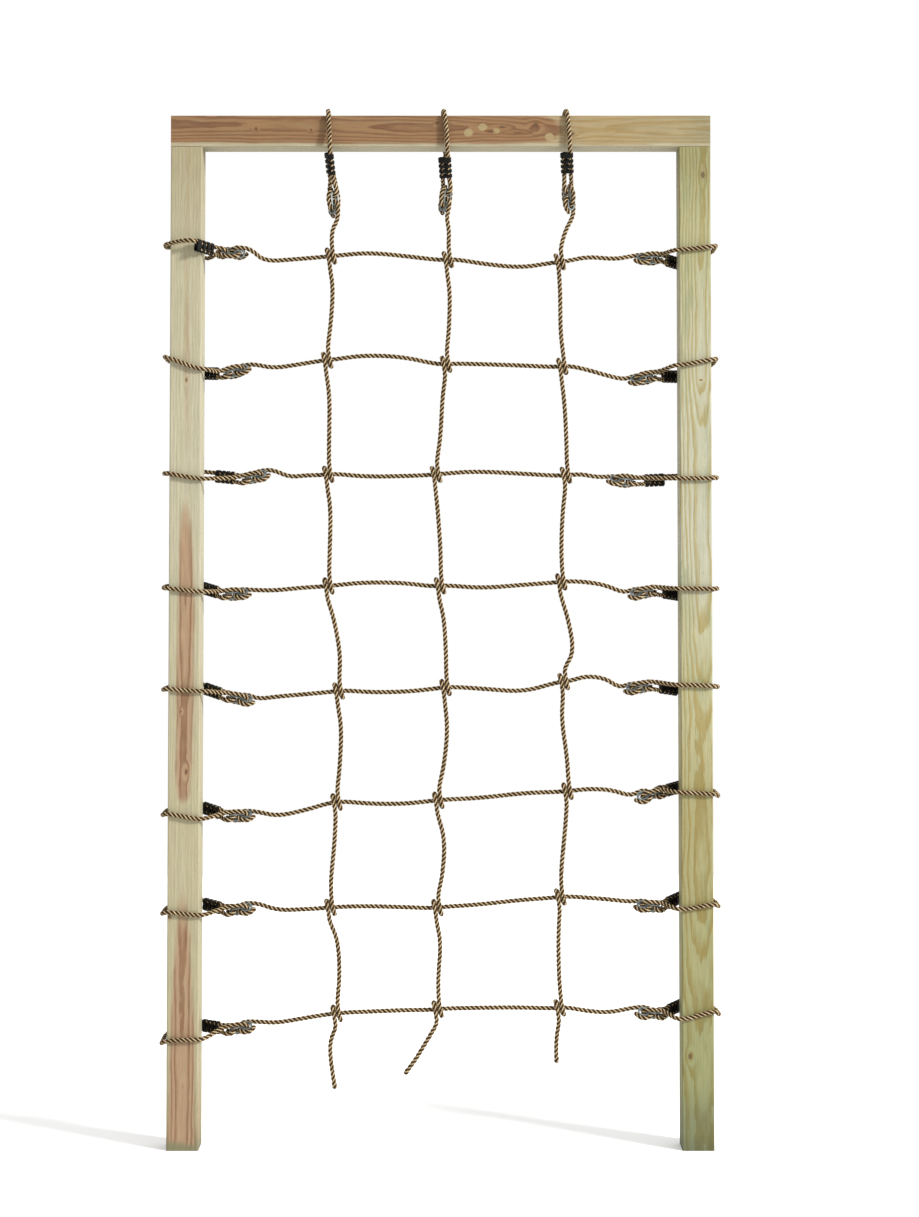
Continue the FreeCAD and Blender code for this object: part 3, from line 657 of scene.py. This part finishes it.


# Each timber: the axis along its grain, the pith's place across and in depth, its drift per
# metre, the ring pitch and how dark the rings are, how far the rings wander, the heartwood's
# radius and the sapwood's colour by the share of the length, the tint of the late wood, the
# heartwood's two colours, the treatment's stain and its strength, the damp foot (height,
# colour), the pale lower edge, paler sapwood with painted light where the arris faces down
# (place across, colour), the knots and the pale filled patches.
# Places across are from the timber's centre line, up the face on the beam and to the right on
# the posts; places along it are from its lower or left end. A knot or patch is (along, across,
# size, how much longer than wide). In metres.
TIMBERS = {
    "left_post": dict(
        along="z", centre=-0.565, start=0.0, length=2.21, pith=(-0.001, -0.012), drift=(0.002, -0.003),
        ring=0.0052, ring_strength=0.55, wobble=0.006, weave=1.1,
        heart=[(0.0, 0.037), (0.113, 0.034), (0.17, 0.0285), (0.205, 0.0250), (0.23, 0.0215),
               (0.27, 0.015), (0.335, 0.015), (0.352, 0.0240), (0.385, 0.0275), (0.45, 0.0280),
               (0.52, 0.0255), (0.59, 0.0230), (0.66, 0.017), (1.0, 0.012)],
        sap=[(0.0, rgb(0.150, 0.140, 0.074)), (0.035, rgb(0.245, 0.215, 0.125)),
             (0.09, rgb(0.290, 0.262, 0.165)), (0.28, rgb(0.305, 0.275, 0.175)),
             (0.70, rgb(0.330, 0.308, 0.218)), (0.86, rgb(0.318, 0.292, 0.198)),
             (1.0, rgb(0.262, 0.230, 0.142))],
        late=rgb(0.90, 0.83, 0.70),
        heartwood=(rgb(0.266, 0.176, 0.102), rgb(0.158, 0.078, 0.037)),
        stain=(rgb(0.235, 0.235, 0.140), 0.25), foot=(0.024, rgb(0.150, 0.136, 0.075)), rim=None,
        knots=[(0.958, -0.007, 0.0022, 1.6), (0.826, 0.006, 0.0034, 2.2), (0.509, -0.030, 0.0040, 1.6),
               (1.690, 0.002, 0.0025, 1.8)],
        patches=[]),
    "right_post": dict(
        along="z", centre=0.565, start=0.0, length=2.21, pith=(0.008, 0.030), drift=(0.004, -0.026),
        ring=0.0066, ring_strength=1.0, wobble=0.017, weave=1.6,
        heart=[(0.0, 0.0), (1.0, 0.001)],
        sap=[(0.0, rgb(0.100, 0.108, 0.058)), (0.022, rgb(0.128, 0.136, 0.068)),
             (0.075, rgb(0.182, 0.184, 0.082)), (0.19, rgb(0.220, 0.207, 0.095)),
             (0.32, rgb(0.235, 0.212, 0.098)), (0.45, rgb(0.290, 0.272, 0.152)),
             (0.60, rgb(0.318, 0.312, 0.228)), (0.78, rgb(0.312, 0.302, 0.206)),
             (0.91, rgb(0.272, 0.262, 0.150)), (1.0, rgb(0.200, 0.190, 0.090))],
        late=rgb(0.80, 0.68, 0.44),
        heartwood=(rgb(0.252, 0.160, 0.090), rgb(0.190, 0.098, 0.047)),
        stain=(rgb(0.150, 0.182, 0.092), 0.55), foot=None, rim=None,
        knots=[(2.147, 0.018, 0.0058, 1.7), (0.205, -0.018, 0.0050, 1.6), (1.690, 0.012, 0.0028, 0.5)],
        patches=[]),
    "top_beam": dict(
        along="x", centre=2.245, start=-0.6, length=1.2, pith=(0.016, -0.018), drift=(-0.012, 0.010),
        ring=0.0058, ring_strength=0.8, wobble=0.017, weave=1.2,
        heart=[(0.0, 0.0435), (0.35, 0.0435), (0.60, 0.0435), (0.69, 0.040), (0.735, 0.028),
               (0.77, 0.012), (1.0, 0.0)],
        sap=[(0.0, rgb(0.270, 0.235, 0.150)), (0.70, rgb(0.262, 0.205, 0.118)),
             (0.80, rgb(0.246, 0.186, 0.092)), (0.93, rgb(0.236, 0.186, 0.096)),
             (1.0, rgb(0.205, 0.178, 0.098))],
        late=rgb(0.86, 0.74, 0.52),
        heartwood=(rgb(0.190, 0.105, 0.046), rgb(0.118, 0.052, 0.021)),
        # rim: a pale lower edge, partly paler sapwood and partly painted light lifting the shade where the
        # arris faces down
        stain=(rgb(0.175, 0.158, 0.095), 0.30), foot=None, rim=(-0.0175, rgb(0.292, 0.256, 0.166)),
        knots=[(0.712, -0.001, 0.0030, 3.0), (0.738, 0.009, 0.0028, 3.2), (0.772, -0.004, 0.0026, 5.5),
               (0.812, 0.014, 0.0065, 1.0), (0.892, -0.006, 0.0050, 1.4), (0.190, 0.003, 0.0028, 1.0),
               (0.312, 0.001, 0.0025, 1.0), (0.592, 0.018, 0.0030, 1.2)],
        patches=[(0.662, -0.003, 0.0095, 1.1), (0.694, 0.008, 0.0080, 1.3), (0.724, 0.000, 0.0060, 1.3),
                 (0.842, -0.013, 0.0095, 1.1)]),
}


ALONG_FOR_RINGS = 0.22     # how much slower the rings' wander is along the grain than across it
ALONG_FOR_FIBRES = 0.035   # and the fibres' streaks
KNOT_REACH = 4.2           # how far from a knot the rings bend, in knot sizes
KNOT_PUSH = -0.005         # and by how much, in metres
LATE_WOOD = (0.25, 0.85, 1.0, 0.88)    # where in a ring it begins, is darkest, ends, begins to end
HEART_WANDER = 0.007       # of the heartwood's edge, in metres
HEART_EDGE = (-0.0042, 0.0034)
PATCH_COLOUR = rgb(0.238, 0.176, 0.084)
PATCH_WANDER = 0.012       # of a patch's edge, in metres
RIM_WANDER = 0.014         # of the pale edge, in metres
RIM_FADE = 0.009
KNOT_WARMTH = rgb(0.86, 0.70, 0.50)
KNOT_CORE = rgb(0.070, 0.040, 0.020)
FIBRE_SHADES = [(0.0, 0.74), (1.0, 1.26)]


def timber_coordinates(tree, timber):
    """(along, across, depth) from the timber's own start and centre line, in metres."""
    x, depth, z = add(tree, "ShaderNodeSeparateXYZ", {0: object_place(tree)}).outputs
    along, across = (z, x) if timber["along"] == "z" else (x, z)
    return (calc(tree, "SUBTRACT", along, timber["start"]),
            calc(tree, "SUBTRACT", across, timber["centre"]), depth)


def stretched(tree, along, across, depth, share):
    """A place for textures that run along the grain: only this share of the way along counts."""
    short = calc(tree, "MULTIPLY", along, share)
    return add(tree, "ShaderNodeCombineXYZ", {0: short, 1: across, 2: depth}).outputs[0]


def spots(tree, marks, along, across, reach, sharp):
    """0 outside reach times a mark's size from its middle, and 1 within sharp times its size."""
    field = None
    for place, aside, size, longer in marks:
        up = calc(tree, "DIVIDE", calc(tree, "SUBTRACT", along, place), longer)
        over = calc(tree, "SUBTRACT", across, aside)
        squares = [calc(tree, "MULTIPLY", way, way) for way in (up, over)]
        away = calc(tree, "SQRT", calc(tree, "ADD", *squares))
        near = smooth(tree, away, size * reach, size * sharp)
        field = near if field is None else calc(tree, "MAXIMUM", field, near)
    return field


def growth_rings(tree, timber, along, across, depth, slow, bend):
    """Distance from the pith, and how far each place is into a ring's dark late wood."""
    wander = add(tree, "ShaderNodeTexNoise", {"Vector": slow, "Scale": 9.0, "Detail": 1.5})
    shares = add(tree, "ShaderNodeSeparateColor", {0: wander.outputs["Color"]}).outputs
    offsets = []
    for place, share, pith, drift in zip((across, depth), shares, timber["pith"], timber["drift"]):
        centre = calc(tree, "MULTIPLY_ADD", along, drift, pith)
        offsets.append(calc(tree, "SUBTRACT", swung(tree, share, timber["wobble"] * 2, place), centre))
    squares = [calc(tree, "MULTIPLY", offset, offset) for offset in offsets]
    radius = calc(tree, "SQRT", calc(tree, "ADD", *squares))
    bent = calc(tree, "MULTIPLY_ADD", bend, KNOT_PUSH, radius)
    waves = calc(tree, "MULTIPLY", noise(tree, slow, scale=42.0), timber["weave"])
    part = calc(tree, "FRACT", calc(tree, "ADD", calc(tree, "DIVIDE", bent, timber["ring"]), waves))
    begins, darkest, ends, ending = LATE_WOOD
    late = calc(tree, "MULTIPLY", smooth(tree, part, begins, darkest), smooth(tree, part, ends, ending))
    return radius, late


def sap_and_heart(tree, timber, along, slow, cloud, radius, late):
    """The colour of the bare wood: ringed sapwood, and redder heartwood round the pith."""
    share = calc(tree, "DIVIDE", along, timber["length"])
    sap = ramp(tree, share, timber["sap"])
    ringed = calc(tree, "MULTIPLY_ADD", cloud, 1.1, timber["ring_strength"] - 0.55)
    late_sap = blend(tree, 1.0, sap, timber["late"], "MULTIPLY")
    sap = blend(tree, calc(tree, "MULTIPLY", late, ringed, clamp=True), sap, late_sap)
    ringed = calc(tree, "MULTIPLY_ADD", cloud, 1.0, 0.4)
    red = blend(tree, calc(tree, "MULTIPLY", late, ringed, clamp=True), *timber["heartwood"])
    edge = swung(tree, noise(tree, slow, scale=45.0), HEART_WANDER, radius)
    inside = calc(tree, "SUBTRACT", ramp(tree, share, timber["heart"]), edge)
    return blend(tree, smooth(tree, inside, *HEART_EDGE), sap, red)


def weathered_with_painted_edge_light(tree, timber, along, across, slow, cloud, colour):
    """The colour with the filled patches, the treatment's stain, the foot, and the pale lower edge of paler
    sapwood and painted light.
    """
    if timber["patches"]:
        ragged = swung(tree, cloud, PATCH_WANDER, across)
        filled = spots(tree, timber["patches"], along, ragged, reach=1.1, sharp=0.85)
        colour = blend(tree, filled, colour, PATCH_COLOUR)
    green, most = timber["stain"]
    patchy = smooth(tree, noise(tree, slow, scale=24.0, detail=4.0, roughness=0.7), 0.5, 0.78)
    colour = blend(tree, calc(tree, "MULTIPLY", patchy, most), colour, green)
    if timber["foot"]:
        height, damp = timber["foot"]
        level = calc(tree, "MULTIPLY_ADD", cloud, height, along)
        colour = blend(tree, smooth(tree, level, height * 1.6, height * 0.8), colour, damp)
    # Painted light: a pale lower edge, partly sapwood, partly light painted over the shade of the
    # downward-facing arris
    if timber["rim"]:
        low_edge, pale = timber["rim"]
        level = calc(tree, "MULTIPLY_ADD", cloud, RIM_WANDER, across)
        colour = blend(tree, smooth(tree, level, low_edge, low_edge - RIM_FADE), colour, pale)
    return colour


def make_wood_material(name, timber):
    """Sawn pine: growth rings round a wandering pith, heartwood, knots, treatment tint, saw marks."""
    material, tree = new_material(f"pine_{name}")
    shader = shader_of(tree)
    along, across, depth = timber_coordinates(tree, timber)
    slow = stretched(tree, along, across, depth, ALONG_FOR_RINGS)
    fibre = stretched(tree, along, across, depth, ALONG_FOR_FIBRES)
    bend = spots(tree, timber["knots"], along, across, reach=KNOT_REACH, sharp=0.0)
    radius, late = growth_rings(tree, timber, along, across, depth, slow, bend)
    streak = noise(tree, fibre, scale=520.0, detail=4.0, roughness=0.65)
    cloud = noise(tree, slow, scale=30.0)
    colour = sap_and_heart(tree, timber, along, slow, cloud, radius, late)
    colour = weathered_with_painted_edge_light(tree, timber, along, across, slow, cloud, colour)
    warm = blend(tree, 0.6, colour, KNOT_WARMTH, "MULTIPLY")
    colour = blend(tree, smooth(tree, bend, 0.4, 0.95), colour, warm)
    cores = spots(tree, timber["knots"], along, across, reach=1.05, sharp=0.45)
    colour = blend(tree, calc(tree, "MULTIPLY", cores, 0.8), colour, KNOT_CORE)
    colour = blend(tree, 1.0, colour, ramp(tree, streak, FIBRE_SHADES), "MULTIPLY")
    tree.links.new(colour, shader.inputs["Base Color"])
    tree.links.new(calc(tree, "MULTIPLY_ADD", streak, 0.2, 0.62), shader.inputs["Roughness"])
    shader.inputs["Specular IOR Level"].default_value = 0.3
    only_along = add(tree, "ShaderNodeCombineXYZ", {0: along}).outputs[0]
    saw = add(tree, "ShaderNodeTexWave", {"Vector": only_along, "Scale": 60.0, "Distortion": 3.0,
                                          "Detail": 2.0}).outputs["Fac"]
    relief = calc(tree, "MULTIPLY_ADD", streak, 0.8, calc(tree, "MULTIPLY", late, 0.35))
    bumped(tree, calc(tree, "MULTIPLY_ADD", saw, 0.12, relief), distance=0.0006, strength=0.6)
    return material


def make_plain_material(name, colour, roughness):
    material, tree = new_material(name)
    shader = shader_of(tree)
    shader.inputs["Base Color"].default_value = colour
    shader.inputs["Roughness"].default_value = roughness
    return material


def paint(node, material):
    """Gives a CAD node this material."""
    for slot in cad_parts[node].material_slots:
        slot.material = material


# Stage, in metres and watts

FLOOR_RADIUS = 4.5
FLOOR_COLOUR = (0.93, 0.93, 0.925, 1)
WORLD_COLOUR = (1.0, 1.0, 1.0, 1)
WORLD_STRENGTH = 1.0
SOFTBOX_PLACE = (11.5, -7.4, 7.6)
SOFTBOX_AIM = (0, 0, 1.3)
SOFTBOX_SIZE = 2.6
SOFTBOX_POWER = 3250.0
CAMERA_PLACE = (0.042, -5.2, 1.3)
CAMERA_TILT = 2.22         # degrees above level
CAMERA_LENS = 69.12        # millimetres, on a sensor as wide as the next line says
CAMERA_SENSOR = 36.0
CAMERA_SHIFT = -0.1174


def make_floor():
    bpy.ops.mesh.primitive_circle_add(vertices=96, radius=FLOOR_RADIUS, fill_type="NGON")
    floor = bpy.context.object
    floor.name = "floor"
    floor.data.materials.append(make_plain_material("pale_floor", FLOOR_COLOUR, 0.9))


def make_lights():
    """One large softbox at the front right, and an even white world."""
    world = bpy.data.worlds.new("studio")
    world.use_nodes = True
    world.node_tree.nodes["Background"].inputs[0].default_value = WORLD_COLOUR
    world.node_tree.nodes["Background"].inputs[1].default_value = WORLD_STRENGTH
    bpy.context.scene.world = world
    softbox = bpy.data.lights.new("softbox", "AREA")
    softbox.shape = "DISK"
    softbox.size = SOFTBOX_SIZE
    softbox.energy = SOFTBOX_POWER
    place = bpy.data.objects.new("softbox", softbox)
    place.location = SOFTBOX_PLACE
    aim = Vector(SOFTBOX_AIM) - place.location
    place.rotation_euler = aim.to_track_quat("-Z", "Y").to_euler()
    bpy.context.scene.collection.objects.link(place)


def make_camera():
    """In front, a little above the net's middle, with a lens shift."""
    camera = bpy.data.cameras.new("camera")
    camera.lens = CAMERA_LENS
    camera.sensor_width = CAMERA_SENSOR
    camera.shift_y = CAMERA_SHIFT
    holder = bpy.data.objects.new("camera", camera)
    holder.location = CAMERA_PLACE
    holder.rotation_euler = (math.radians(90 + CAMERA_TILT), 0, 0)
    bpy.context.scene.collection.objects.link(holder)
    bpy.context.scene.camera = holder


# Ropes

def make_upright_ropes():
    for index, name in enumerate(KNOTS):
        route = metres(upright_route(name))
        rope, line = laid_rope(f"{name}_net_rope", route, LAY_START["upright"] * index, melted_end=True)
        hang(rope)
        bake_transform(rope)
        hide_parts(f"{name}_upright_rope", f"{name}_rope_tail")


def make_cross_ropes():
    for row, length in enumerate(CROSS_LENGTHS):
        route = metres(cross_route(row))
        rope, line = laid_rope(f"cross_net_rope_{row + 1}", route, LAY_START["cross"] * row)
        hang(rope)
        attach(rope, "root")
        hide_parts(f"cross_rope_{row + 1}")


def make_slings():
    for side, lengths in SLING_LENGTHS.items():
        names = [name for name in SLINGS if SLINGS[name]["side"] == side]
        for index, (name, length) in enumerate(zip(names, lengths)):
            route = metres(in_world(SLINGS[name], sling_route(SLINGS[name])))
            rope, line = laid_rope(f"{name}_rope", route, LAY_START["sling"] * index)
            hang(rope)
            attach(rope, "root")
            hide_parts(name)


bpy.context.scene.view_settings.view_transform = "Standard"
rope_material = make_rope_material()
slider_material = make_slider_material()
galvanised = make_steel_material("galvanised_thimble")
make_camera()
make_upright_ropes()
make_cross_ropes()
make_slings()
for name, timber in TIMBERS.items():
    paint(name, make_wood_material(name, timber))
for side in ("left", "right", "top"):
    paint(f"{side}_thimbles", galvanised)
for name in SLINGS:
    paint(name.replace("sling", "slider"), slider_material)
paint("beam_screws", galvanised)
make_floor()
make_lights()
